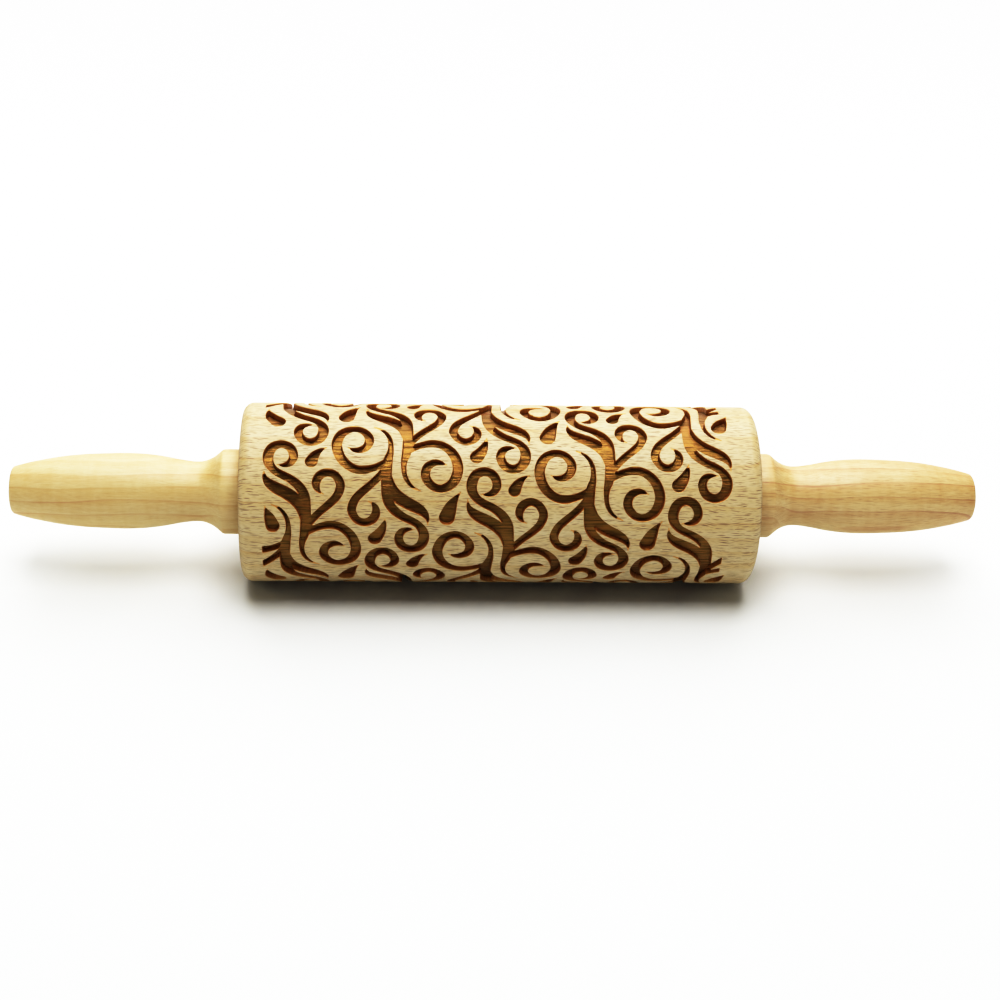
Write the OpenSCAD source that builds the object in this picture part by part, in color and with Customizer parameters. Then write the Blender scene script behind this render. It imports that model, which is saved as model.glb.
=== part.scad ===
// Rolling pin with a barrel that turns on a steel rod between two turned handles.
// The axis of the pin is X, up is +Z and the origin is the middle of the barrel.

/* [Barrel] */
// Diameter of the barrel
barrel_d = 60; // [50:1:70]
// Length of the barrel
barrel_len = 170.5; // [150:0.5:250]
// Radius of the rounded edge at each end of the barrel
barrel_edge = 3.5; // [1:0.5:6]
// Bore along the middle of the barrel, clear of the rod
barrel_bore = 10; // [9:0.5:12]

/* [Handles] */
// Overall length of the pin, from one handle tip to the other
overall_len = 325; // [310:1:420]
// Largest diameter of the grip
grip_d = 25.4; // [24:0.1:27]
// Diameter of the collar that faces the barrel
collar_d = 28.5; // [26.5:0.5:34]
// Diameter of the neck between grip and collar
neck_d = 20.1; // [18.5:0.1:21]
// Diameter of the handle at its outer tip
tip_d = 16.3; // [15:0.1:17.4]

/* [Running gear] */
// Diameter of the steel rod
rod_d = 8; // [7:0.5:8]
// Running clearance on the radius between rod and bush
run_fit = 0.05; // [0.02:0.01:0.1]
// Gap between handle collar and barrel end
end_gap = 0.6; // [0.55:0.05:1]
// Thickness of the washer in that gap
washer_t = 0.5; // [0.3:0.05:0.5]
// How far the rod reaches into each handle
rod_grip = 19; // [17:1:30]

/* [Bushes and inserts] */
// Outside diameter of the bush body
bush_d = 16; // [14:0.5:20]
// Length of the bush body, flange included
bush_len = 18; // [12:1:30]
// Diameter of the bush flange
flange_d = 24; // [22:0.5:28]
// Thickness of the bush flange
flange_t = 2; // [1.5:0.5:4]
// Outside diameter of the threaded insert in the handle
insert_d = 12; // [11:0.5:13]
// Length of the threaded insert
insert_len = 16; // [12:1:20]

/* [Hidden] */
$fn = 96;
e = 0.01;
barrel_end = barrel_len/2;
handle_start = barrel_end + end_gap;
handle_len = overall_len/2 - handle_start;
rod_len = 2*(handle_start + rod_grip);
bush_bore = rod_d + 2*run_fit;
washer_d = 20;
socket_depth = rod_grip + 3;
tip_edge = 1.6;
tip_dome = 0.3;
collar_edge = 0.8;
collar_from = 0.925;
grip_r = grip_d/2;
neck_r = neck_d/2;
tip_r = tip_d/2;
collar_r = collar_d/2;
// Swell from the tip to the fullest part, as [part of the handle length, part of the way in radius]
swell = [[0.021, 0], [0.055, 0.16], [0.11, 0.38], [0.214, 0.7], [0.318, 0.89], [0.422, 0.97], [0.5, 1]];
// Fall from the fullest part to the neck, in the same terms
fall = [[0.572, 0.925], [0.624, 0.774], [0.676, 0.547], [0.73, 0.245], [0.782, 0.03], [0.808, 0]];
// Cove from the neck out to the collar, in the same terms
cove = [[0.808, 0], [0.828, 0.03], [0.852, 0.155], [0.877, 0.38], [0.897, 0.66], [0.915, 0.94]];

// Colours of the four materials
beech = "burlywood";
steel = "silver";
nylon = "ivory";
brass = "goldenrod";

// One point of a smooth curve that runs from b to c, with its neighbours a and d
function smooth_point(a, b, c, d, t) =
    0.5*(2*b + (c - a)*t + (2*a - 5*b + 4*c - d)*t*t + (3*b - a - 3*c + d)*t*t*t);
// A smooth curve through all the points of p, with n steps between neighbours
function smooth_curve(p, n) = [
    for (i = [0:len(p) - 2], k = [0:n - 1])
        smooth_point(p[max(i - 1, 0)], p[i], p[i + 1], p[min(i + 2, len(p) - 1)], k/n),
    p[len(p) - 1]];

// Turns a drawing of [radius, place along the pin] about the axis X
module turned() {
    rotate([0, 90, 0])
        rotate_extrude()
            children();
}

// A part of the right-hand side, moved to the left-hand side
module on_left() {
    mirror([1, 0, 0])
        children();
}

module barrel_section() {
    intersection() {
        translate([0, -barrel_end])
            square([barrel_d/2, barrel_len]);
        union() {
            translate([0, -barrel_end + barrel_edge])
                square([barrel_d/2, barrel_len - 2*barrel_edge]);
            translate([0, -barrel_end])
                square([barrel_d/2 - barrel_edge, barrel_len]);
            for (s = [-1, 1])
                translate([barrel_d/2 - barrel_edge, s*(barrel_end - barrel_edge)])
                    circle(r = barrel_edge);
        }
    }
}

module barrel() {
    color(beech)
        difference() {
            turned() barrel_section();
            rotate([0, 90, 0])
                cylinder(h = barrel_len + 2, d = barrel_bore, center = true);
            for (s = [-1, 1])
                translate([s*(barrel_end - bush_len/2 + 0.5), 0, 0])
                    rotate([0, 90, 0])
                        cylinder(h = bush_len + 1, d = bush_d, center = true);
            for (s = [-1, 1])
                translate([s*(barrel_end - flange_t/2 + 0.5), 0, 0])
                    rotate([0, 90, 0])
                        cylinder(h = flange_t + 1, d = flange_d, center = true);
        }
}

module axle_rod() {
    color(steel)
        turned()
            polygon([[0, -rod_len/2], [rod_d/2 - 0.6, -rod_len/2], [rod_d/2, -rod_len/2 + 0.6],
                [rod_d/2, rod_len/2 - 0.6], [rod_d/2 - 0.6, rod_len/2], [0, rod_len/2]]);
}

module bush_right() {
    color(nylon)
        difference() {
            union() {
                translate([barrel_end - bush_len, 0, 0])
                    rotate([0, 90, 0])
                        cylinder(h = bush_len, d = bush_d);
                translate([barrel_end - flange_t, 0, 0])
                    rotate([0, 90, 0])
                        cylinder(h = flange_t, d = flange_d);
            }
            translate([barrel_end - bush_len - 1, 0, 0])
                rotate([0, 90, 0])
                    cylinder(h = bush_len + 2, d = bush_bore);
        }
}

module washer_right() {
    color(nylon)
        translate([handle_start - washer_t, 0, 0])
            rotate([0, 90, 0])
                difference() {
                    cylinder(h = washer_t, d = washer_d);
                    translate([0, 0, -1])
                        cylinder(h = washer_t + 2, d = rod_d);
                }
}

module insert_right() {
    color(brass)
        translate([handle_start, 0, 0])
            rotate([0, 90, 0])
                difference() {
                    cylinder(h = insert_len, d = insert_d);
                    translate([0, 0, -1])
                        cylinder(h = insert_len + 2, d = rod_d);
                }
}

// Points [radius, place] of a curve whose radius runs from one value to another
function turned_curve(curve, from_r, to_r) =
    [for (p = curve) [from_r + p[1]*(to_r - from_r), handle_len*(1 - p[0])]];

module handle_section() {
    grip = smooth_curve(concat(turned_curve(swell, tip_r, grip_r), turned_curve(fall, neck_r, grip_r)), 5);
    hollow = smooth_curve(turned_curve(cove, neck_r, collar_r), 4);
    difference() {
        polygon(concat(
            [[0, handle_len], [tip_r - tip_edge, handle_len - tip_dome],
                [tip_r - 0.45*tip_edge, handle_len - tip_dome - 0.2*tip_edge],
                [tip_r - 0.12*tip_edge, handle_len - tip_dome - 0.5*tip_edge]],
            grip,
            [for (i = [1:len(hollow) - 1]) hollow[i]],
            [[collar_r, handle_len*(1 - collar_from)], [collar_r, collar_edge],
                [collar_r - 0.3*collar_edge, 0.3*collar_edge],
                [collar_r - collar_edge, 0], [0, 0]]));
        translate([-e, -e])
            square([insert_d/2 + e, insert_len + e]);
        translate([-e, -e])
            square([rod_d/2 + e, socket_depth + e]);
    }
}

module handle_right() {
    color(beech)
        translate([handle_start, 0, 0])
            turned() handle_section();
}

module bush_left() {
    on_left() bush_right();
}
module washer_left() {
    on_left() washer_right();
}
module insert_left() {
    on_left() insert_right();
}
module handle_left() {
    on_left() handle_right();
}

barrel();
axle_rod();
bush_left();
bush_right();
washer_left();
washer_right();
insert_left();
insert_right();
handle_left();
handle_right();
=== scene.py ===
"""Engraved wooden rolling pin: a barrel with a burnt scroll pattern between two turned handles.

Sizes in this file are in millimetres until a mesh is made, when MM turns them into metres. The pin's
axis is X. On the barrel, u runs along the axis and s runs round the surface, up from the line that
faces the viewer.
"""
import math

import bpy
import numpy as np
from mathutils import Matrix, Vector
from mathutils.geometry import delaunay_2d_cdt


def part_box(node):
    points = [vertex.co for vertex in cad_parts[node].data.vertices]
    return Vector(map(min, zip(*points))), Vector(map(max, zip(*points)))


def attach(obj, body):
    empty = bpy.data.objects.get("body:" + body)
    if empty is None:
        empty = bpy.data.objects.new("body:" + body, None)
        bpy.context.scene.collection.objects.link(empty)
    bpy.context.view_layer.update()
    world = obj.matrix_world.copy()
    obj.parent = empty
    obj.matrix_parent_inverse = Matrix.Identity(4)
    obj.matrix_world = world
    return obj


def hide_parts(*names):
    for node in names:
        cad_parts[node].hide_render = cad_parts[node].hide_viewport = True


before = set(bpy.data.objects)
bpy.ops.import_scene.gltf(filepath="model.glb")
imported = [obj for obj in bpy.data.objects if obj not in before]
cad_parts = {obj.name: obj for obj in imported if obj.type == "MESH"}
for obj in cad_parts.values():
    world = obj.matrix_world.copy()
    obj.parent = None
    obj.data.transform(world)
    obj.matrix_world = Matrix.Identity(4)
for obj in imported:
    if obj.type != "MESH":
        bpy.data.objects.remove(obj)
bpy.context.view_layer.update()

MM = 0.001


def size_of(node):
    """Lowest and highest corner of a CAD node, in millimetres."""
    low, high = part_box(node)
    return Vector(low) / MM, Vector(high) / MM


# ---------------------------------------------------------------- driving sizes

BARREL_END = size_of("barrel")[1].x
BARREL_R = size_of("barrel")[1].z
BARREL_EDGE = 3.5
BUSH_LOW, BUSH_HIGH = size_of("bush_right")
BUSH_R = 8.0
FLANGE_R = BUSH_HIGH.z
FLANGE_T = 2.0
BORE_R = 5.0
SEAT_CLEAR = 0.05
HANDLE_LOW, HANDLE_HIGH = size_of("handle_right")
HANDLE_START = HANDLE_LOW.x
HANDLE_LEN = HANDLE_HIGH.x - HANDLE_LOW.x
INSERT_LOW, INSERT_HIGH = size_of("insert_right")
ROD_R = size_of("axle_rod")[1].z
SOCKET_DEPTH = size_of("axle_rod")[1].x - HANDLE_START + 3.0

# How far down the viewer looks; the barrel rests with its line s = 0 turned to the viewer
VIEW_ELEVATION = math.radians(30)

# ---------------------------------------------------------------- engraved pattern

PATTERN_FROM = -77.6
PATTERN_TO = 73.1
ENGRAVE_DEPTH = 2.0
TIP_WIDTH = 0.5
GIRTH = 2 * math.pi * BARREL_R
REPEATS_ROUND = 3
STEP_ALONG = np.array([32.8, 26.95])
MOTIF_CENTRE = np.array([-50.35, -1.75])
MOTIFS_ALONG = 4
FRONT_STRETCH = 0.9

# Strokes of one scroll motif, as [u, s, width] about the point it turns half round for its twin
UPPER_LOBE = [(-22.2, 10.3, 0.1), (-19.9, 10.2, 1.6), (-17.9, 11.1, 2.6), (-17.0, 13.4, 3.0),
              (-18.2, 16.3, 3.1), (-21.0, 17.5, 3.1), (-23.8, 16.4, 3.4), (-25.1, 13.7, 3.6),
              (-24.9, 11.0, 3.3), (-23.3, 8.7, 2.8), (-21.1, 7.3, 2.8), (-18.2, 5.9, 2.9),
              (-15.6, 4.0, 3.2), (-14.0, 2.0, 3.3), (-13.1, -0.2, 3.3), (-12.9, -3.0, 3.4)]
LOWER_LOBE = [(-26.4, 8.7, 0.1), (-26.1, 6.3, 1.6), (-24.6, 4.3, 3.1), (-22.2, 2.8, 3.9),
              (-19.0, 1.2, 4.2), (-16.2, -0.8, 4.2), (-14.2, -3.4, 3.9), (-13.0, -6.7, 3.6)]
STEM = [(-12.9, -3.0, 3.4), (-12.9, -6.7, 3.5), (-13.2, -10.3, 3.3), (-13.5, -12.5, 3.0),
        (-14.1, -14.7, 2.3), (-14.3, -17.0, 1.8), (-14.0, -19.6, 1.6), (-12.9, -21.9, 1.4),
        (-11.2, -23.6, 1.0), (-8.8, -24.7, 0.4)]
SPIRAL = [(-12.8, -11.9, 1.7), (-11.3, -10.6, 2.5), (-9.8, -9.9, 2.5), (-8.0, -9.3, 2.6),
          (-5.4, -8.8, 3.0), (-2.5, -9.2, 3.0), (0.2, -10.9, 3.2), (2.2, -13.5, 3.4),
          (3.2, -17.2, 3.5), (2.5, -20.4, 3.5), (0.8, -22.7, 3.2), (-2.1, -23.9, 2.8),
          (-4.9, -23.2, 2.8), (-6.9, -21.0, 3.0), (-7.3, -18.8, 3.1), (-6.4, -16.7, 2.9),
          (-4.4, -15.6, 2.4), (-2.4, -15.6, 1.6), (-0.5, -16.4, 0.1)]
BRANCH = [(-12.4, -9.0, 2.6), (-11.0, -7.2, 2.6), (-8.3, -4.5, 2.6), (-5.0, -1.7, 2.8),
          (-2.8, 0.7, 2.9), (-1.8, 3.8, 3.0), (-2.9, 6.4, 2.8), (-4.5, 7.6, 2.8), (-6.4, 7.9, 2.9),
          (-8.5, 6.9, 3.1), (-9.6, 5.0, 2.9), (-9.5, 3.2, 2.2), (-8.6, 1.8, 1.1), (-7.2, 1.1, 0.1)]
SCROLL_MOTIF = [UPPER_LOBE, LOWER_LOBE, STEM, SPIRAL, BRANCH]
# Drops that fill the gaps between the motifs, about the same point
DROPS = [[(-6.4, 16.3, 0.1), (-8.4, 15.4, 1.5), (-10.2, 13.6, 3.1), (-11.3, 11.5, 4.2)],
         [(12.6, -6.7, 0.1), (12.2, -8.6, 1.8), (11.0, -11.3, 3.5), (9.3, -13.5, 4.6)],
         [(36.9, 2.0, 0.1), (35.1, -0.2, 2.0), (33.6, -3.0, 4.1), (32.5, -6.1, 5.3)]]
# Drops that close the pattern at its two ends, on the barrel itself
END_DROPS = [[(-76.4, -4.6, 0.1), (-75.6, -6.6, 1.9), (-74.8, -8.5, 3.6), (-73.9, -11.0, 4.6)],
             [(-76.3, 33.2, 0.1), (-76.1, 30.8, 2.0), (-75.0, 27.9, 4.2), (-72.9, 25.5, 5.2)],
             [(75.1, 30.8, 0.1), (73.9, 28.6, 2.0), (72.7, 26.4, 4.2), (71.7, 24.0, 5.2)]]
# A drop this close to an end is left out, and so is a piece cut off there that is smaller than this
DROP_CLEAR = 5.5
SMALLEST_PIECE = 45.0

# Sizes of the mesh: the field's grid, the discs of a stroke and how far one can reach, the contours
GRID = 0.33
DISC_SPACING = 0.22
MOTIF_REACH = 36.0
FIELD_REACH = 0.9
CONTOUR_TOLERANCE = 0.018
LONGEST_EDGE = 1.6
BARREL_CREASE = math.radians(32)
# Room in the unrolled UVs past each end of the barrel, and for the bore
UV_BEYOND = 60
UV_BORE = 10
# Contours of the engraving: [distance inside the outline, depth below the surface]
LIP = (0.0, 0.0)
SHOULDER = (0.1, 0.14)
FOOT = (0.4, ENGRAVE_DEPTH)
FACETS_ROUND = 126


def catmull(a, b, c, d, t):
    """Point at t on the smooth curve from b to c, with neighbours a and d."""
    square, cube = 2 * a - 5 * b + 4 * c - d, 3 * b - a - 3 * c + d
    return 0.5 * (2 * b + (c - a) * t + square * t * t + cube * t ** 3)


def smooth_curve(points, spacing):
    """Points along a smooth curve through the given ones, about the given distance apart."""
    points = np.array(points, dtype=float)
    out = []
    for i in range(len(points) - 1):
        a, b = points[max(i - 1, 0)], points[i]
        c, d = points[i + 1], points[min(i + 2, len(points) - 1)]
        count = max(2, math.ceil(np.linalg.norm((c - b)[:2]) / spacing))
        out += [catmull(a, b, c, d, k / count) for k in range(count)]
    out.append(points[-1])
    return np.array(out)


def copies_round(discs):
    """The discs with their repeats round the barrel, wherever they can reach the unrolled sheet."""
    rows = []
    for j in range(-5, 6):
        moved = discs + [0, j * GIRTH / REPEATS_ROUND, 0]
        rows.append(moved[abs(moved[:, 1]) < GIRTH / 2 + MOTIF_REACH])
    rows = np.vstack(rows)
    rows[:, 1] += FRONT_STRETCH * np.sin(rows[:, 1] / BARREL_R)
    return rows


def discs_along(strokes):
    """Strokes of [u, s, width] as rows of overlapping discs, [u, s, radius]."""
    rows = np.vstack([smooth_curve(stroke, DISC_SPACING) for stroke in strokes])
    return np.maximum(rows, [-np.inf, -np.inf, TIP_WIDTH]) * [1, 1, 0.5]


def scroll_discs(numbers):
    """The scrolls with these numbers along the barrel, their twins, and the drops between them."""
    motif = discs_along(SCROLL_MOTIF)
    pair = np.vstack([motif, motif * [-1, -1, 1]])
    discs = []
    for i in numbers:
        at = np.append(MOTIF_CENTRE + i * STEP_ALONG, 0)
        discs.append(copies_round(pair + at))
        for drop in DROPS:
            if PATTERN_FROM + DROP_CLEAR < at[0] + drop[-1][0] < PATTERN_TO - DROP_CLEAR:
                discs.append(copies_round(discs_along([drop]) + at))
    return np.vstack(discs)


def stamp(field, us, ss, discs):
    """Raises the field to how far each grid point lies inside any of the discs."""
    step_u, step_s = us[1] - us[0], ss[1] - ss[0]
    for u, s, r in discs:
        reach = r + FIELD_REACH
        i0, i1 = int((u - reach - us[0]) / step_u), int((u + reach - us[0]) / step_u) + 2
        j0, j1 = int((s - reach - ss[0]) / step_s), int((s + reach - ss[0]) / step_s) + 2
        i0, i1 = max(i0, 0), min(i1, len(us))
        j0, j1 = max(j0, 0), min(j1, len(ss))
        if i0 < i1 and j0 < j1:
            away = np.hypot(us[None, i0:i1] - u, ss[j0:j1, None] - s)
            window = field[j0:j1, i0:i1]
            np.maximum(window, r - away, out=window)


def clear_cut_pieces(field, us, cell_area):
    """Fills in the small pieces of the engraving that the pattern's ends cut off."""
    rows, columns = field.shape
    seen = field <= 0
    for end, inward in (PATTERN_FROM, 0.6), (PATTERN_TO, -0.6):
        edge = int(np.argmin(abs(us - end - inward)))
        for row in range(rows):
            if seen[row, edge]:
                continue
            piece, waiting = [], [(row, edge)]
            seen[row, edge] = True
            while waiting:
                j, i = waiting.pop()
                piece.append((j, i))
                round_j = ((j + 1) % (rows - 1), (j - 1) % (rows - 1))
                for j2, i2 in (round_j[0], i), (round_j[1], i), (j, i + 1), (j, i - 1):
                    if 0 <= i2 < columns and not seen[j2, i2]:
                        seen[j2, i2] = True
                        waiting.append((j2, i2))
            if len(piece) * cell_area < SMALLEST_PIECE:
                for j, i in piece:
                    field[j, i] = -1.0


def inside_field(us, ss):
    """How far each grid point lies inside the engraving, negative outside it."""
    field = np.full((len(ss), len(us)), -1.0)
    # The scrolls past each end are cut off at the pattern's end; the others are whole
    stamp(field, us, ss, scroll_discs((-1, MOTIFS_ALONG)))
    ends = np.minimum(us - PATTERN_FROM, PATTERN_TO - us)
    field = np.minimum(field, ends[None, :])
    stamp(field, us, ss, scroll_discs(range(MOTIFS_ALONG)))
    field[-1] = field[0]
    clear_cut_pieces(field, us, (us[1] - us[0]) * (ss[1] - ss[0]))
    stamp(field, us, ss, copies_round(discs_along(END_DROPS)))
    field[-1] = field[0]
    return field


def contour_lines(field, us, ss, level):
    """Contours of the field as lists of (u, s) points; a closed one ends with its first point."""
    above = field > level
    points, links = {}, {}

    def crossing(kind, j, i):
        key = (kind, j, i)
        if key not in points:
            j2, i2 = (j, i + 1) if kind == 0 else (j + 1, i)
            a, b = field[j, i] - level, field[j2, i2] - level
            t = a / (a - b)
            points[key] = (us[i] + t * (us[i2] - us[i]), ss[j] + t * (ss[j2] - ss[j]))
        return key

    low, high = above[:-1], above[1:]
    mixed = (low[:, :-1] ^ high[:, 1:]) | (low[:, 1:] ^ high[:, :-1]) | (low[:, :-1] ^ low[:, 1:])
    for j, i in zip(*np.nonzero(mixed)):
        corners = (above[j, i], above[j, i + 1], above[j + 1, i + 1], above[j + 1, i])
        sides = ((0, j, i), (1, j, i + 1), (0, j + 1, i), (1, j, i))
        cut = [crossing(*sides[k]) for k in range(4) if corners[k] != corners[(k + 1) % 4]]
        pairs = [cut] if len(cut) == 2 else [(cut[0], cut[1]), (cut[2], cut[3])]
        if len(cut) == 4 and corners[0]:
            pairs = [(cut[1], cut[2]), (cut[3], cut[0])]
        for a, b in pairs:
            links.setdefault(a, []).append(b)
            links.setdefault(b, []).append(a)

    lines = []
    ends_first = sorted(links, key=lambda key: len(links[key]))
    used = set()
    for start in ends_first:
        if start in used:
            continue
        line = [start]
        used.add(start)
        while True:
            onward = [n for n in links[line[-1]] if n not in used]
            if not onward:
                break
            line.append(onward[0])
            used.add(onward[0])
        if len(line) > 2 and start in links[line[-1]]:
            line.append(start)
        lines.append(np.array([points[key] for key in line]))
    return lines


def thinned(line, tolerance, longest):
    """Leaves out points that lie within tolerance of the line without them."""
    keep = np.zeros(len(line), bool)
    keep[0] = keep[-1] = True
    closed = np.allclose(line[0], line[-1])
    if closed:
        keep[len(line) // 2] = True
    anchors = np.nonzero(keep)[0]
    spans = list(zip(anchors[:-1], anchors[1:]))
    while spans:
        a, b = spans.pop()
        if b - a < 2:
            continue
        chord = line[b] - line[a]
        length = math.hypot(*chord)
        offset = line[a + 1:b] - line[a]
        if length > 1e-9:
            away = abs(chord[0] * offset[:, 1] - chord[1] * offset[:, 0]) / length
        else:
            away = np.hypot(offset[:, 0], offset[:, 1])
        worst = int(np.argmax(away))
        if away[worst] > tolerance or length > longest:
            middle = a + 1 + (worst if away[worst] > tolerance else (b - a) // 2 - 1)
            middle = min(max(middle, a + 1), b - 1)
            keep[middle] = True
            spans += [(a, middle), (middle, b)]
    return line[keep]


def engraved_sheet():
    """The barrel's surface, unrolled: points [u, s, depth], triangles and the band of each.

    Band 0 is the plain surface, 1 a wall and 2 the floor of the engraving.
    """
    edge = BARREL_END - BARREL_EDGE
    half_long = int(edge / GRID) * GRID
    us = np.linspace(-half_long, half_long, int(2 * half_long / GRID) + 1)
    ss = np.linspace(-GIRTH / 2, GIRTH / 2, int(GIRTH / GRID) + 1)
    field = inside_field(us, ss)

    verts, edges, edge_depth, known = [], [], [], {}

    def vert(u, s):
        key = (round(u, 6), round(s, 6))
        if key not in known:
            known[key] = len(verts)
            verts.append(Vector(key))
        return known[key]

    for inside, depth in (LIP, SHOULDER, FOOT):
        for line in contour_lines(field, us, ss, inside):
            line = thinned(line, CONTOUR_TOLERANCE, LONGEST_EDGE)
            ids = [vert(u, s) for u, s in line]
            for a, b in zip(ids[:-1], ids[1:]):
                if a != b:
                    edges.append((a, b))
                    edge_depth.append(depth)
    for k in range(FACETS_ROUND + 1):
        s = -GIRTH / 2 + k * GIRTH / FACETS_ROUND
        edges.append((vert(-edge, s), vert(edge, s)))
        edge_depth.append(None)
    for u in (-edge, edge):
        for k in range(FACETS_ROUND):
            s = [-GIRTH / 2 + n * GIRTH / FACETS_ROUND for n in (k, k + 1)]
            edges.append((vert(u, s[0]), vert(u, s[1])))
            edge_depth.append(None)

    flat, flat_edges, tris, _, from_edges, _ = delaunay_2d_cdt(verts, edges, [], 0, 1e-6, True)
    depth = [None] * len(flat)
    for (a, b), sources in zip(flat_edges, from_edges):
        for source in sources:
            if edge_depth[source] is not None:
                depth[a] = depth[b] = edge_depth[source]

    def field_at(u, s):
        x = (u - us[0]) / (us[1] - us[0])
        y = (s - ss[0]) / (ss[1] - ss[0])
        if not 0 <= x < len(us) - 1:
            return -1.0
        i, j = int(x), min(max(int(y), 0), len(ss) - 2)
        x, y = x - i, y - j
        low = field[j, i] * (1 - x) + field[j, i + 1] * x
        high = field[j + 1, i] * (1 - x) + field[j + 1, i + 1] * x
        return low * (1 - y) + high * y

    middle = (LIP[0] + FOOT[0]) / 2
    for n, p in enumerate(flat):
        if depth[n] is None:
            depth[n] = ENGRAVE_DEPTH if field_at(p.x, p.y) > middle else 0.0
    points = np.array([(p.x, p.y, d) for p, d in zip(flat, depth)])
    tris = np.array([t for t in tris if len(t) == 3])
    centre = points[tris].mean(axis=1)
    low, high = points[tris][:, :, 2].min(axis=1), points[tris][:, :, 2].max(axis=1)
    band = np.where(high == 0, 0, np.where(low == ENGRAVE_DEPTH, 2, 1))
    for n in np.nonzero(low == high)[0]:
        inside = field_at(centre[n, 0], centre[n, 1])
        if high[n] == 0 and inside > SHOULDER[0]:
            band[n] = 1
    return points, tris, band


def on_barrel(u, s, r):
    """Place on the barrel of the unrolled point (u, s) at radius r."""
    angle = VIEW_ELEVATION + s / BARREL_R
    return (u, -r * math.cos(angle), r * math.sin(angle))


def ring_profile():
    """From the plain surface over the end edge and into the bore, as [place along the axis, radius]."""
    edge = BARREL_EDGE
    arc = [(BARREL_END - edge + edge * math.sin(a), BARREL_R - edge + edge * math.cos(a))
           for a in np.linspace(0, math.pi / 2, 9)]
    flange_r, seat_r = FLANGE_R + SEAT_CLEAR, BUSH_R + SEAT_CLEAR
    seat = [(BARREL_END, flange_r), (BARREL_END - FLANGE_T, flange_r), (BARREL_END - FLANGE_T, seat_r),
            (BUSH_LOW.x, seat_r), (BUSH_LOW.x, BORE_R)]
    return arc + seat


def make_object(name, verts, faces):
    """A new smooth-shaded mesh object from points in millimetres."""
    mesh = bpy.data.meshes.new(name)
    mesh.from_pydata([tuple(c * MM for c in v) for v in verts], [], faces)
    mesh.shade_smooth()
    obj = bpy.data.objects.new(name, mesh)
    bpy.context.scene.collection.objects.link(obj)
    return obj


def engraved_barrel():
    """The whole barrel: engraved surface, rounded ends, bush seats and bore, as one closed mesh."""
    points, tris, band = engraved_sheet()
    seam = GIRTH / 2
    place, verts, remap = {}, [], np.zeros(len(points), int)
    for n, (u, s, depth) in enumerate(points):
        key = (round(u, 4), round(-seam if s > seam - 1e-4 else s, 4), depth)
        if key not in place:
            place[key] = len(verts)
            verts.append(on_barrel(u, s, BARREL_R - depth))
        remap[n] = place[key]
    faces = [tuple(remap[t]) for t in tris]
    kind = list(band)
    keep = [len(set(f)) == 3 for f in faces]
    faces = [f for f, ok in zip(faces, keep) if ok]
    kind = [k for k, ok in zip(kind, keep) if ok]
    uvs = [[tuple(points[v][:2]) for v in t] for t, ok in zip(tris, keep) if ok]

    edge = BARREL_END - BARREL_EDGE
    ring_at = [-GIRTH / 2 + k * GIRTH / FACETS_ROUND for k in range(FACETS_ROUND)]
    last_ring = {}
    for side in (1, -1):
        previous = [place[(round(side * edge, 4), round(s, 4), 0.0)] for s in ring_at]
        v_along = edge
        profile = ring_profile()
        for (x0, r0), (x, r) in zip(profile[:-1], profile[1:]):
            ring = []
            for s in ring_at:
                ring.append(len(verts))
                verts.append(on_barrel(side * x, s, r))
            v_next = v_along + math.hypot(x - x0, r - r0)
            for k in range(FACETS_ROUND):
                n = (k + 1) % FACETS_ROUND
                quad = (previous[k], ring[k], ring[n], previous[n])
                s0, s1 = ring_at[k], ring_at[k] + GIRTH / FACETS_ROUND
                uv = [(side * v_along, s0), (side * v_next, s0), (side * v_next, s1), (side * v_along, s1)]
                if side == -1:
                    quad, uv = quad[::-1], uv[::-1]
                faces.append(quad)
                uvs.append(uv)
                kind.append(3)
            previous = ring
            v_along = v_next
        last_ring[side] = previous
    for k in range(FACETS_ROUND):
        n = (k + 1) % FACETS_ROUND
        faces.append((last_ring[1][k], last_ring[-1][k], last_ring[-1][n], last_ring[1][n]))
        s0, s1 = ring_at[k], ring_at[k] + GIRTH / FACETS_ROUND
        bore_end = v_along + UV_BORE
        uvs.append([(v_along, s0), (bore_end, s0), (bore_end, s1), (v_along, s1)])
        kind.append(3)

    barrel = make_object("barrel_engraved", verts, faces)
    return barrel, kind, uvs


def finish_barrel_mesh(obj, kinds, uvs):
    """Sets the unrolled UVs, crisp edges, and normals that keep the surface and the floor round.

    The engraving's walls and floor take the second material.
    """
    mesh = obj.data
    layer = mesh.uv_layers.new(name="OFBake")
    half_long = BARREL_END + UV_BEYOND
    flat = [((u + half_long) / (2 * half_long), (s + GIRTH / 2) / GIRTH) for face in uvs for u, s in face]
    layer.data.foreach_set("uv", [c for pair in flat for c in pair])
    mesh.set_sharp_from_angle(angle=BARREL_CREASE)
    normals = np.zeros((len(mesh.loops), 3))
    for face, kind in zip(mesh.polygons, kinds):
        face.material_index = int(kind in (1, 2))
        if kind in (0, 2):
            for k in face.loop_indices:
                _, y, z = mesh.vertices[mesh.loops[k].vertex_index].co
                normals[k] = (0, y, z)
    length = np.linalg.norm(normals, axis=1, keepdims=True)
    mesh.normals_split_custom_set((normals / np.maximum(length, 1e-12)).tolist())


# ---------------------------------------------------------------- handles

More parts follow.
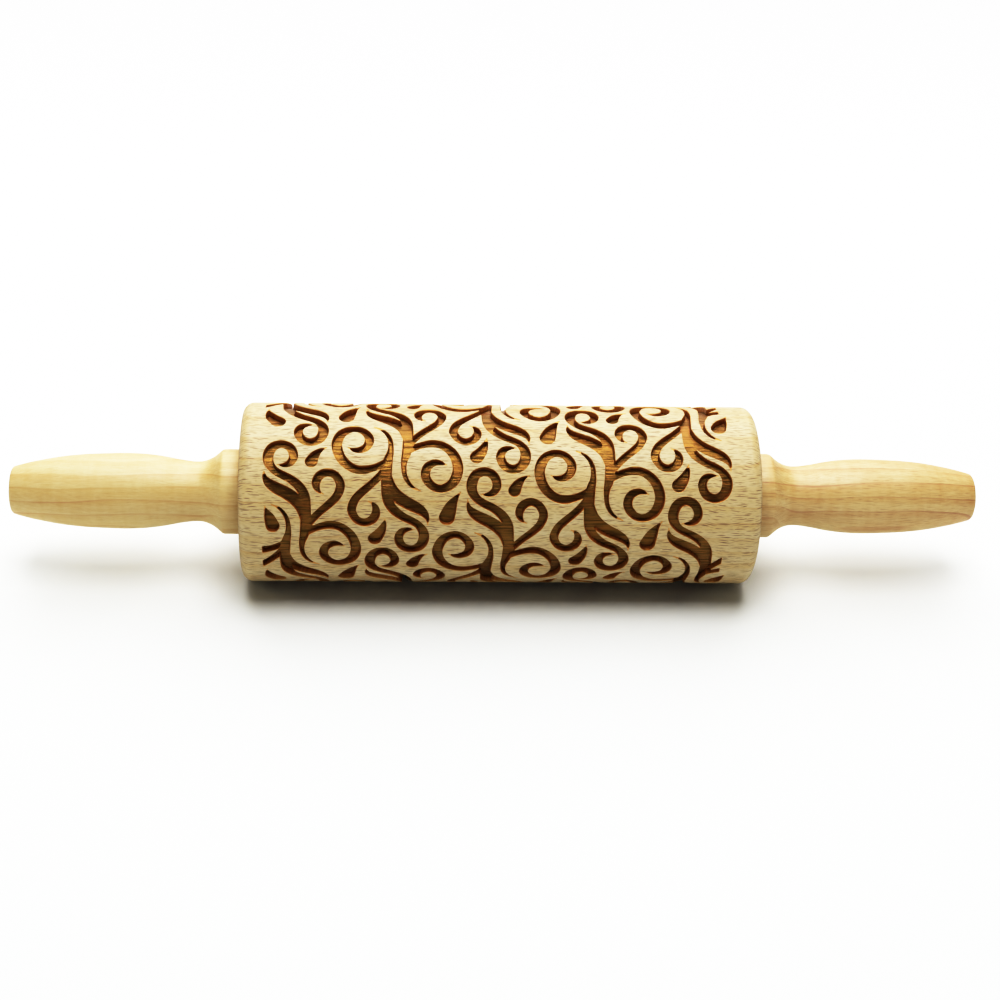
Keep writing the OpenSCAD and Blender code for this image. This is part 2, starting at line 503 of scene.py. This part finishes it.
# Curves of a handle, as [part of its length from the tip, part of the way in radius]
SWELL = [(0.021, 0), (0.055, 0.16), (0.11, 0.38), (0.214, 0.7), (0.318, 0.89), (0.422, 0.97),
         (0.5, 1)]
FALL = [(0.572, 0.925), (0.624, 0.774), (0.676, 0.547), (0.73, 0.245), (0.782, 0.03), (0.808, 0)]
COVE = [(0.808, 0), (0.828, 0.03), (0.852, 0.155), (0.877, 0.38), (0.897, 0.66), (0.915, 0.94)]
COLLAR_FROM = 0.925
GRIP_R = 12.7
NECK_R = 10.05
TIP_R = 8.15
COLLAR_R = HANDLE_HIGH.z
TIP_EDGE = 1.6
TIP_DOME = 0.3
COLLAR_EDGE = 0.8
HANDLE_ROUND = 128
HANDLE_CREASE = math.radians(30)
GRIP_SPACING = 0.9
COVE_SPACING = 0.5


def handle_curve(curve, from_r, to_r):
    """Points [distance from the collar face, radius, 0] of a curve of the handle."""
    return [(HANDLE_LEN * (1 - along), from_r + way * (to_r - from_r), 0) for along, way in curve]


def handle_profile():
    """A handle from the tip to the socket's end, as [distance from the collar face, radius]."""
    end = [(HANDLE_LEN, 0.0)]
    for inward, down in ((1, 0), (0.75, 0.05), (0.45, 0.2), (0.25, 0.38), (0.12, 0.6), (0.04, 0.85)):
        end.append((HANDLE_LEN - TIP_DOME - down * TIP_EDGE * 0.8, TIP_R - inward * TIP_EDGE))
    swell_and_fall = handle_curve(SWELL, TIP_R, GRIP_R) + handle_curve(FALL, NECK_R, GRIP_R)
    grip = smooth_curve(swell_and_fall, GRIP_SPACING)
    cove = smooth_curve(handle_curve(COVE, NECK_R, COLLAR_R), COVE_SPACING)
    turned = [(x, r) for x, r, _ in np.vstack([grip, cove[1:]])]
    collar = [(HANDLE_LEN * (1 - COLLAR_FROM), COLLAR_R), (COLLAR_EDGE, COLLAR_R),
              (0.3 * COLLAR_EDGE, COLLAR_R - 0.3 * COLLAR_EDGE), (0.0, COLLAR_R - COLLAR_EDGE)]
    insert_r, insert_len = INSERT_HIGH.z, INSERT_HIGH.x - INSERT_LOW.x
    socket = [(0.0, insert_r), (insert_len, insert_r), (insert_len, ROD_R), (SOCKET_DEPTH, ROD_R),
              (SOCKET_DEPTH, 0.0)]
    return end + turned + collar + socket


def lathe(name, profile, side, count):
    """A closed turned solid from [place along the axis, radius], on the left (-1) or the right (1)."""
    verts, faces, rings = [], [], []
    for x, r in profile:
        if r == 0:
            rings.append([len(verts)] * count)
            verts.append((side * x, 0, 0))
            continue
        rings.append(range(len(verts), len(verts) + count))
        for k in range(count):
            angle = 2 * math.pi * k / count
            verts.append((side * x, -r * math.cos(angle), r * math.sin(angle)))
    for low, high in zip(rings[:-1], rings[1:]):
        for k in range(count):
            n = (k + 1) % count
            corners = list(dict.fromkeys((low[k], high[k], high[n], low[n])))
            faces.append(corners if side == -1 else corners[::-1])
    return make_object(name, verts, faces)


handles = {}
for word, side in (("left", -1), ("right", 1)):
    profile = [(HANDLE_START + x, r) for x, r in handle_profile()]
    handle = lathe("handle_turned_" + word, profile, side, HANDLE_ROUND)
    handle.data.set_sharp_from_angle(angle=HANDLE_CREASE)
    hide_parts("handle_" + word)
    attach(handle, "handle_set")
    handles[word] = handle

barrel, barrel_kind, barrel_uvs = engraved_barrel()
finish_barrel_mesh(barrel, barrel_kind, barrel_uvs)
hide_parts("barrel")
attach(barrel, "roller")

# ---------------------------------------------------------------- materials


class Graph:
    """A material's node tree, with short calls for the nodes used here. Places are in millimetres."""

    def __init__(self, name):
        self.material = bpy.data.materials.new(name)
        self.material.use_nodes = True
        self.tree = self.material.node_tree
        self.shader = self.tree.nodes["Principled BSDF"]
        coords = self.tree.nodes.new("ShaderNodeTexCoord")
        self.place = self.scaled(coords.outputs["Object"], (1 / MM,) * 3)

    def put(self, socket, value):
        if isinstance(value, bpy.types.NodeSocket):
            self.tree.links.new(value, socket)
        elif value is not None:
            socket.default_value = value

    def scaled(self, vector, scale, shift=(0, 0, 0)):
        node = self.tree.nodes.new("ShaderNodeMapping")
        self.put(node.inputs["Vector"], vector)
        node.inputs["Scale"].default_value = scale
        node.inputs["Location"].default_value = shift
        return node.outputs["Vector"]

    def maths(self, operation, a, b=None):
        node = self.tree.nodes.new("ShaderNodeMath")
        node.operation = operation
        for socket, value in zip(node.inputs, (a, b)):
            self.put(socket, value)
        return node.outputs["Value"]

    def times(self, a, b):
        return self.maths("MULTIPLY", a, b)

    def plus(self, a, b):
        return self.maths("ADD", a, b)

    def long_side(self, a, b):
        """The long side of a right-angled triangle."""
        return self.maths("SQRT", self.plus(self.times(a, a), self.times(b, b)))

    def axes(self, vector):
        node = self.tree.nodes.new("ShaderNodeSeparateXYZ")
        self.put(node.inputs[0], vector)
        return node.outputs

    def vector(self, x, y, z):
        node = self.tree.nodes.new("ShaderNodeCombineXYZ")
        for socket, value in zip(node.inputs, (x, y, z)):
            self.put(socket, value)
        return node.outputs[0]

    def noise(self, vector, detail=3.0, roughness=0.5):
        node = self.tree.nodes.new("ShaderNodeTexNoise")
        self.put(node.inputs["Vector"], vector)
        node.inputs["Scale"].default_value = 1.0
        node.inputs["Detail"].default_value = detail
        node.inputs["Roughness"].default_value = roughness
        return node.outputs["Fac"]

    def stretched_noise(self, along, around, scale, layer=0.0, detail=3.0, roughness=0.5):
        """Noise on the unrolled surface, with its own scale along the grain and round it."""
        place = self.vector(self.times(along, scale[0]), self.times(around, scale[1]), layer)
        return self.noise(place, detail, roughness)

    def dashes(self, along, around, cell, half_length, half_width):
        """Short strokes along the grain, one in each cell: 1 on a stroke, 0 off it."""
        node = self.tree.nodes.new("ShaderNodeTexVoronoi")
        node.voronoi_dimensions = "2D"
        in_cells = [self.maths("DIVIDE", v, size) for v, size in zip((along, around), cell)]
        place = self.vector(*in_cells, 0.0)
        self.put(node.inputs["Vector"], place)
        node.inputs["Scale"].default_value = 1.0
        away = self.tree.nodes.new("ShaderNodeVectorMath")
        away.operation = "SUBTRACT"
        self.put(away.inputs[0], place)
        self.put(away.inputs[1], node.outputs["Position"])
        dx, dy, _ = self.axes(away.outputs[0])
        chance, other, _ = self.axes(node.outputs["Color"])
        longer = self.span(chance, 0.0, 1.0, 0.35 * half_length / cell[0], half_length / cell[0])
        dx = self.maths("DIVIDE", dx, longer)
        dy = self.maths("DIVIDE", dy, half_width / cell[1])
        stroke = self.span(self.long_side(dx, dy), 1.25, 0.55)
        return self.times(stroke, self.span(other, 0.0, 1.0, 0.35, 1.0))

    def span(self, value, low, high, to_low=0.0, to_high=1.0, smooth=False):
        node = self.tree.nodes.new("ShaderNodeMapRange")
        node.interpolation_type = "SMOOTHSTEP" if smooth else "LINEAR"
        for socket, v in zip(node.inputs, (value, low, high, to_low, to_high)):
            self.put(socket, v)
        return node.outputs["Result"]

    def mix(self, amount, a, b):
        node = self.tree.nodes.new("ShaderNodeMix")
        node.data_type = "RGBA"
        self.put(node.inputs[0], amount)
        self.put(node.inputs[6], colour(a))
        self.put(node.inputs[7], colour(b))
        return node.outputs[2]

    def bump(self, height, distance, strength):
        node = self.tree.nodes.new("ShaderNodeBump")
        node.inputs["Strength"].default_value = strength
        node.inputs["Distance"].default_value = distance * MM
        self.put(node.inputs["Height"], height)
        return node.outputs["Normal"]


def colour(value):
    """An RGBA value from 0 to 255 sRGB, or a socket as it is."""
    if isinstance(value, bpy.types.NodeSocket):
        return value
    linear = [c / 255 / 12.92 if c / 255 <= 0.04045 else ((c / 255 + 0.055) / 1.055) ** 2.4 for c in value]
    return (*linear, 1.0)


def beech(g, shift, pith, ring, light, dark, line, fleck, round_r):
    """Turned beech with the grain along X: growth rings about a far pith, flecks and fine pores.

    ring is the width of a growth ring, and fleck how strong the rays and the pores are, and their
    colour. Returns the wood's colour, its height and how far round the surface a point lies.
    """
    place = g.scaled(g.place, (1, 1, 1), shift)
    x, y, z = g.axes(place)
    # Growth rings: each darkens slowly and ends at a line, and some years are darker than others
    wander = g.noise(g.scaled(place, (0.011, 0.045, 0.045)), detail=2)
    from_pith = g.long_side(g.plus(y, pith[0]), g.plus(z, pith[1]))
    ring_place = g.maths("DIVIDE", g.plus(from_pith, g.times(wander, 10.0)), ring)
    part = g.maths("FRACT", ring_place)
    late = g.times(g.span(part, 0.3, 0.88, smooth=True), g.span(part, 1.0, 0.88, smooth=True))
    year = g.span(g.noise(g.vector(g.times(ring_place, 1.3), 0.0, 0.0), detail=1), 0.3, 0.7)
    # Fine lines along the grain, broad clouds, and faint bands across it
    lines = g.noise(g.scaled(place, (0.04, 1.7, 1.7)), detail=4, roughness=0.62)
    broad = g.noise(g.scaled(place, (0.012, 0.1, 0.1), (4, 9, 2)), detail=2)
    tone = g.plus(g.times(late, 0.3), g.times(year, 0.36))
    tone = g.plus(tone, g.span(broad, 0.3, 0.7, -0.12, 0.3))
    tone = g.plus(tone, g.span(lines, 0.3, 0.7, -0.16, 0.16))
    figure = g.noise(g.scaled(place, (0.34, 0.1, 0.1), (7, 1, 5)), detail=3, roughness=0.6)
    tone = g.plus(tone, g.span(figure, 0.35, 0.65, -0.08, 0.08))
    base = g.mix(g.span(tone, 0.0, 1.0), light, dark)
    edge = g.times(g.span(part, 0.84, 0.95), g.span(part, 1.0, 0.95))
    base = g.mix(g.times(edge, g.span(broad, 0.4, 0.6, 0.0, 0.65)), base, line)
    # Rays, pores and fibres, laid on the unrolled surface
    _, own_y, own_z = g.axes(g.place)
    around = g.times(g.maths("ARCTAN2", own_z, g.times(own_y, -1.0)), round_r)
    sway = g.noise(g.scaled(place, (0.07, 0.12, 0.12), (3, 3, 3)), detail=2)
    swayed = g.plus(around, g.times(sway, 3.0))
    rays = g.dashes(x, swayed, (4.6, 1.0), 2.3, 0.135)
    pores = g.dashes(x, g.plus(swayed, 0.4), (2.4, 0.8), 1.1, 0.085)
    fibres = g.stretched_noise(x, swayed, (0.3, 3.4))
    base = g.mix(g.times(rays, fleck[0]), base, fleck[2])
    base = g.mix(g.times(pores, fleck[1]), base, fleck[2])
    base = g.mix(g.span(fibres, 0.52, 0.75, 0.0, 0.22), base, fleck[2])
    dips = g.plus(g.times(rays, 0.7), g.times(pores, 0.4))
    height = g.maths("SUBTRACT", g.times(fibres, 0.4), dips)
    return base, height, around


def end_grain(g, inner, outer, wood, pores_colour):
    """Wood cut across the grain, between two places along the pin, counted from its middle."""
    x, _, _ = g.axes(g.place)
    at_end = g.span(g.maths("ABSOLUTE", x), inner, outer)
    dots = g.noise(g.scaled(g.place, (0.2, 3.0, 3.0), (5, 5, 5)), detail=3, roughness=0.7)
    return g.mix(g.times(at_end, g.span(dots, 0.42, 0.68, 0.15, 0.75)), wood, pores_colour)


def barrel_material(name, ior, specular, tint):
    """Beech with burnt grooves; the sanded surface and the grooves differ in how they shine."""
    g = Graph(name)
    x, y, z = g.axes(g.place)
    wood, wood_height, around = beech(g, (0, 0, 0), (35, 60), 6.0, (195, 180, 145), (187, 163, 115),
                                      (176, 144, 92), (0.8, 0.5, (98, 62, 32)), BARREL_R)
    wood = end_grain(g, BARREL_END - 0.8, BARREL_END - 0.1, wood, (150, 116, 76))
    sunk = g.maths("SUBTRACT", BARREL_R, g.long_side(y, z))
    half_pattern = (PATTERN_TO - PATTERN_FROM) / 2
    from_middle = g.maths("ABSOLUTE", g.plus(x, -(PATTERN_FROM + PATTERN_TO) / 2))
    on_pattern = g.span(from_middle, half_pattern + 2.5, half_pattern + 2.0)
    burnt = g.times(g.span(sunk, 0.02, 0.3), on_pattern)
    deep = g.span(sunk, 0.4, ENGRAVE_DEPTH - 0.05)
    raster = g.stretched_noise(x, around, (0.14, 1.6), detail=5, roughness=0.7)
    threads = g.stretched_noise(x, around, (0.09, 1.5), layer=4.0, detail=2)
    patches = g.noise(g.scaled(g.place, (0.07, 0.28, 0.28), (1, 2, 3)), detail=3)
    floor_tone = g.plus(g.times(raster, 0.75), g.times(patches, 0.45))
    floor = g.mix(g.span(floor_tone, 0.47, 0.75), (40, 18, 11), (118, 66, 32))
    streaks = g.times(g.span(threads, 0.5, 0.6), burnt)
    floor = g.mix(g.times(streaks, 0.85), floor, (30, 15, 8))
    walls = g.mix(g.span(raster, 0.3, 0.7), (104, 57, 28), (154, 94, 46))
    char = g.mix(g.span(deep, 0.7, 1.0), walls, floor)
    rim = g.mix(g.span(sunk, 0.02, 0.12), wood, (190, 148, 96))
    surface = g.mix(g.span(burnt, 0.3, 1.0), g.mix(on_pattern, wood, rim), char)
    g.put(g.shader.inputs["Base Color"], surface)
    roughness = g.plus(g.span(burnt, 0, 1, 0.54, 0.3), g.times(streaks, 0.4))
    g.put(g.shader.inputs["Roughness"], roughness)
    height = g.plus(g.times(wood_height, g.maths("SUBTRACT", 1.0, burnt)),
                    g.times(g.plus(raster, threads), g.times(burnt, 3.0)))
    g.put(g.shader.inputs["Normal"], g.bump(height, 0.12, 0.6))
    g.shader.inputs["IOR"].default_value = ior
    g.shader.inputs["Specular IOR Level"].default_value = specular
    g.shader.inputs["Specular Tint"].default_value = colour(tint)
    return g.material


def handle_material(name, shift, ring, light, dark, line, fleck):
    g = Graph(name)
    wood, height, _ = beech(g, shift, (30, 52), ring, light, dark, line, fleck, GRIP_R)
    tip = HANDLE_START + HANDLE_LEN
    wood = end_grain(g, tip - 1.0, tip - 0.2, wood, (160, 122, 78))
    g.put(g.shader.inputs["Base Color"], wood)
    g.put(g.shader.inputs["Roughness"], g.span(height, -0.7, 0.4, 0.6, 0.44))
    g.put(g.shader.inputs["Normal"], g.bump(height, 0.05, 0.5))
    g.shader.inputs["Specular IOR Level"].default_value = 0.8
    return g.material


def steel_material():
    g = Graph("steel_drawn")
    lines = g.noise(g.scaled(g.place, (0.3, 6, 6)), detail=3)
    g.put(g.shader.inputs["Base Color"], g.mix(lines, (150, 150, 152), (190, 190, 192)))
    g.put(g.shader.inputs["Roughness"], g.span(lines, 0.3, 0.7, 0.24, 0.38))
    g.put(g.shader.inputs["Normal"], g.bump(lines, 0.01, 0.4))
    g.shader.inputs["Metallic"].default_value = 1.0
    return g.material


def brass_material():
    g = Graph("brass_turned")
    lines = g.noise(g.scaled(g.place, (9, 0.4, 0.4)), detail=3)
    g.put(g.shader.inputs["Base Color"], g.mix(lines, (176, 138, 66), (208, 172, 96)))
    g.put(g.shader.inputs["Roughness"], g.span(lines, 0.3, 0.7, 0.28, 0.42))
    g.put(g.shader.inputs["Normal"], g.bump(lines, 0.01, 0.4))
    g.shader.inputs["Metallic"].default_value = 1.0
    return g.material


def nylon_material():
    g = Graph("nylon_moulded")
    grain = g.noise(g.scaled(g.place, (1.5, 1.5, 1.5)), detail=4)
    g.put(g.shader.inputs["Base Color"], g.mix(grain, (212, 206, 188), (228, 223, 208)))
    g.put(g.shader.inputs["Roughness"], g.span(grain, 0.3, 0.7, 0.42, 0.55))
    g.put(g.shader.inputs["Normal"], g.bump(grain, 0.02, 0.3))
    return g.material


barrel.data.materials.append(barrel_material("beech_sanded", 1.5, 0.65, (255, 255, 255)))
barrel.data.materials.append(barrel_material("beech_burnt", 1.8, 1.0, (255, 208, 124)))
handles["left"].data.materials.append(
    handle_material("beech_left", (0, 0, 0), 4.4, (206, 188, 143), (187, 154, 97), (176, 128, 78),
                    (0.1, 0.1, (146, 100, 54))))
handles["right"].data.materials.append(
    handle_material("beech_right", (40, 13, -21), 4.6, (203, 183, 138), (176, 135, 80), (154, 96, 50),
                    (0.35, 0.12, (128, 80, 42))))
hidden = {"axle_rod": steel_material(), "insert": brass_material(), "bush": nylon_material()}
hidden["washer"] = hidden["bush"]
for node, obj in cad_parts.items():
    for start, material in hidden.items():
        if node.startswith(start):
            for slot in obj.material_slots:
                slot.material = material

# ---------------------------------------------------------------- floor, light and camera


def floor_material():
    """White board that glows softly far from the object, as a lit backdrop does."""
    g = Graph("floor")
    x, y, _ = g.axes(g.place)
    away = g.long_side(x, y)
    cloud = g.noise(g.scaled(g.place, (0.004, 0.004, 0.004)), detail=2)
    g.put(g.shader.inputs["Base Color"], g.mix(cloud, (225, 227, 225), (229, 231, 230)))
    g.shader.inputs["Roughness"].default_value = 0.7
    g.shader.inputs["Specular IOR Level"].default_value = 0.2
    g.shader.inputs["Emission Color"].default_value = (1.0, 1.0, 1.0, 1.0)
    g.put(g.shader.inputs["Emission Strength"], g.span(away, 280, 1100, 0.0, 1.1, smooth=True))
    return g.material


FLOOR_HALF = 4000
corners = [(FLOOR_HALF * x, FLOOR_HALF * y, -BARREL_R) for x, y in ((-1, -1), (1, -1), (1, 1), (-1, 1))]
floor = make_object("floor", corners, [(0, 1, 2, 3)])
floor.data.materials.append(floor_material())

scene = bpy.context.scene


def film_response():
    """A camera's response: bright tones run gently into white, and dark ones deepen."""
    # [light on the film, tone in the picture]
    tones = [(0.0, 0.0), (0.06, 0.018), (0.18, 0.095), (0.31, 0.25), (0.42, 0.42), (0.55, 0.605),
             (0.7, 0.77), (0.9, 0.9), (1.2, 0.985), (1.5, 1.0)]
    brightest = tones[-1][0]
    view = scene.view_settings
    view.view_transform = "Standard"
    view.use_curve_mapping = True
    mapping = view.curve_mapping
    mapping.white_level = (brightest,) * 3
    curve = mapping.curves[3]
    for light, tone in tones[1:-1]:
        curve.points.new(light / brightest, tone)
    mapping.update()


def studio_world():
    """Dim all round, brighter at the horizon."""
    world = bpy.data.worlds.new("studio")
    world.use_nodes = True
    tree = world.node_tree
    coords = tree.nodes.new("ShaderNodeTexCoord")
    axes = tree.nodes.new("ShaderNodeSeparateXYZ")
    glow = tree.nodes.new("ShaderNodeMapRange")
    glow.interpolation_type = "SMOOTHSTEP"
    tree.links.new(coords.outputs["Generated"], axes.inputs[0])
    tree.links.new(axes.outputs["Z"], glow.inputs["Value"])
    for socket, value in zip(list(glow.inputs)[1:5], (0.02, 0.25, 0.9, 0.2)):
        socket.default_value = value
    tree.links.new(glow.outputs["Result"], tree.nodes["Background"].inputs["Strength"])
    tree.nodes["Background"].inputs["Color"].default_value = (1.0, 1.0, 0.98, 1.0)
    return world


def soft_light(name, place, aim, size, power):
    """A square area light that faces the point it is aimed at; sizes and places in metres."""
    lamp = bpy.data.lights.new(name, "AREA")
    lamp.shape = "SQUARE"
    lamp.size = size
    lamp.energy = power
    obj = bpy.data.objects.new(name, lamp)
    obj.location = place
    obj.rotation_euler = (Vector(aim) - Vector(place)).to_track_quat("-Z", "Y").to_euler()
    scene.collection.objects.link(obj)


film_response()
scene.world = studio_world()
soft_light("above", (0.0, -0.16, 1.3), (0, 0, 0), 0.8, 16)
soft_light("behind", (0.0, 0.96, 1.15), (0, 0, 0), 1.6, 27)

CAMERA_AWAY = 0.648
CAMERA_TURN = math.radians(3.51)
CAMERA_ROLL = math.radians(2.18)
AIM_RIGHT = 0.0008
AIM_UP = -0.0022
forward = Vector((math.sin(CAMERA_TURN) * math.cos(VIEW_ELEVATION),
                  math.cos(CAMERA_TURN) * math.cos(VIEW_ELEVATION), -math.sin(VIEW_ELEVATION)))
level = forward.cross(Vector((0, 0, 1))).normalized()
rise = level.cross(forward)
right = level * math.cos(CAMERA_ROLL) + rise * math.sin(CAMERA_ROLL)
up = rise * math.cos(CAMERA_ROLL) - level * math.sin(CAMERA_ROLL)
camera = bpy.data.objects.new("camera", bpy.data.cameras.new("camera"))
camera.data.lens = 1915 / 1000 * camera.data.sensor_width
camera.data.clip_start = 0.01
turned = Matrix((right, up, -forward)).transposed().to_4x4()
camera.matrix_world = Matrix.Translation(right * AIM_RIGHT + up * AIM_UP - forward * CAMERA_AWAY) @ turned
scene.collection.objects.link(camera)
scene.camera = camera
